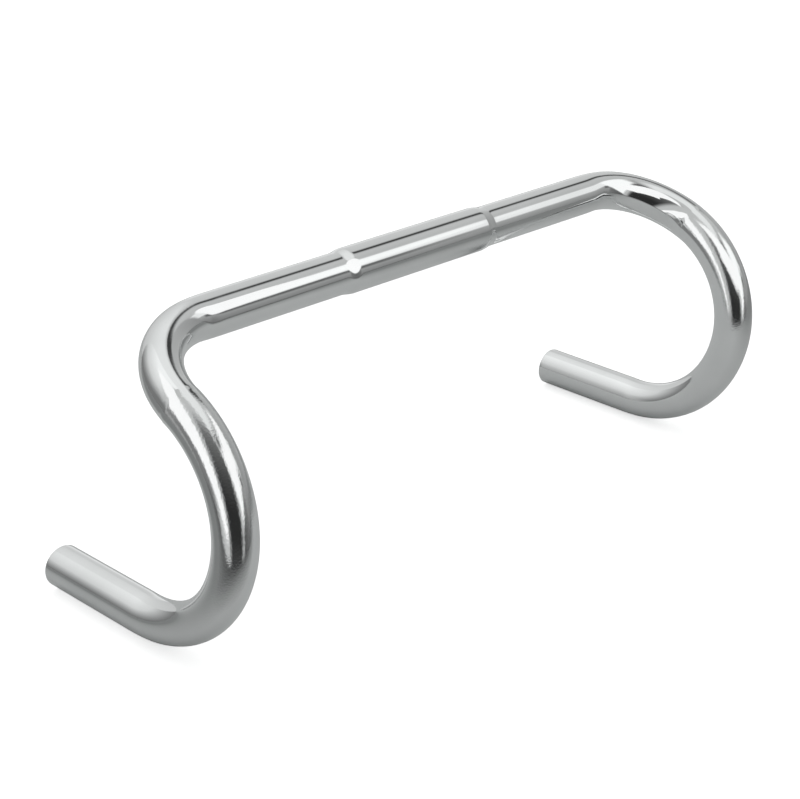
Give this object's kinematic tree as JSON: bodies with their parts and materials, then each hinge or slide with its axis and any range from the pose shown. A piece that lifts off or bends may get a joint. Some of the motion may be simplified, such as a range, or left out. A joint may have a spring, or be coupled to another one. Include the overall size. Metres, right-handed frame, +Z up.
{
  "type": "drop handlebar",
  "caption": "Polished drop handlebar with a swelled clamp zone, sloping ramps, round hooks and level drops, with a liner inside the clamp zone and push-in end plugs.",
  "frame": {"origin": "centre of the clamp zone, on the tube's axis", "axes": "+X across the bar, the front faces -Y, +Z up with the two drops level"},
  "size_m": [0.4338, 0.1567, 0.1734],
  "materials": {
    "polished_alloy": "mirror polished",
    "plain_alloy": "as drawn, satin",
    "plug_plastic": "fine moulded texture"
  },
  "bodies": {
    "bar": {"bar_tube": "polished_alloy", "clamp_liner": "plain_alloy"},
    "plug_left": {"end_plug_left": "plug_plastic"},
    "plug_right": {"end_plug_right": "plug_plastic"}
  },
  "joints": [
    {"name": "plug_left_pull", "type": "slide", "parent": "bar", "child": "plug_left", "axis": [0, 1, 0], "range_m": [0, 0.026]},
    {"name": "plug_right_pull", "type": "slide", "parent": "bar", "child": "plug_right", "axis": [0, 1, 0], "range_m": [0, 0.026]}
  ]
}
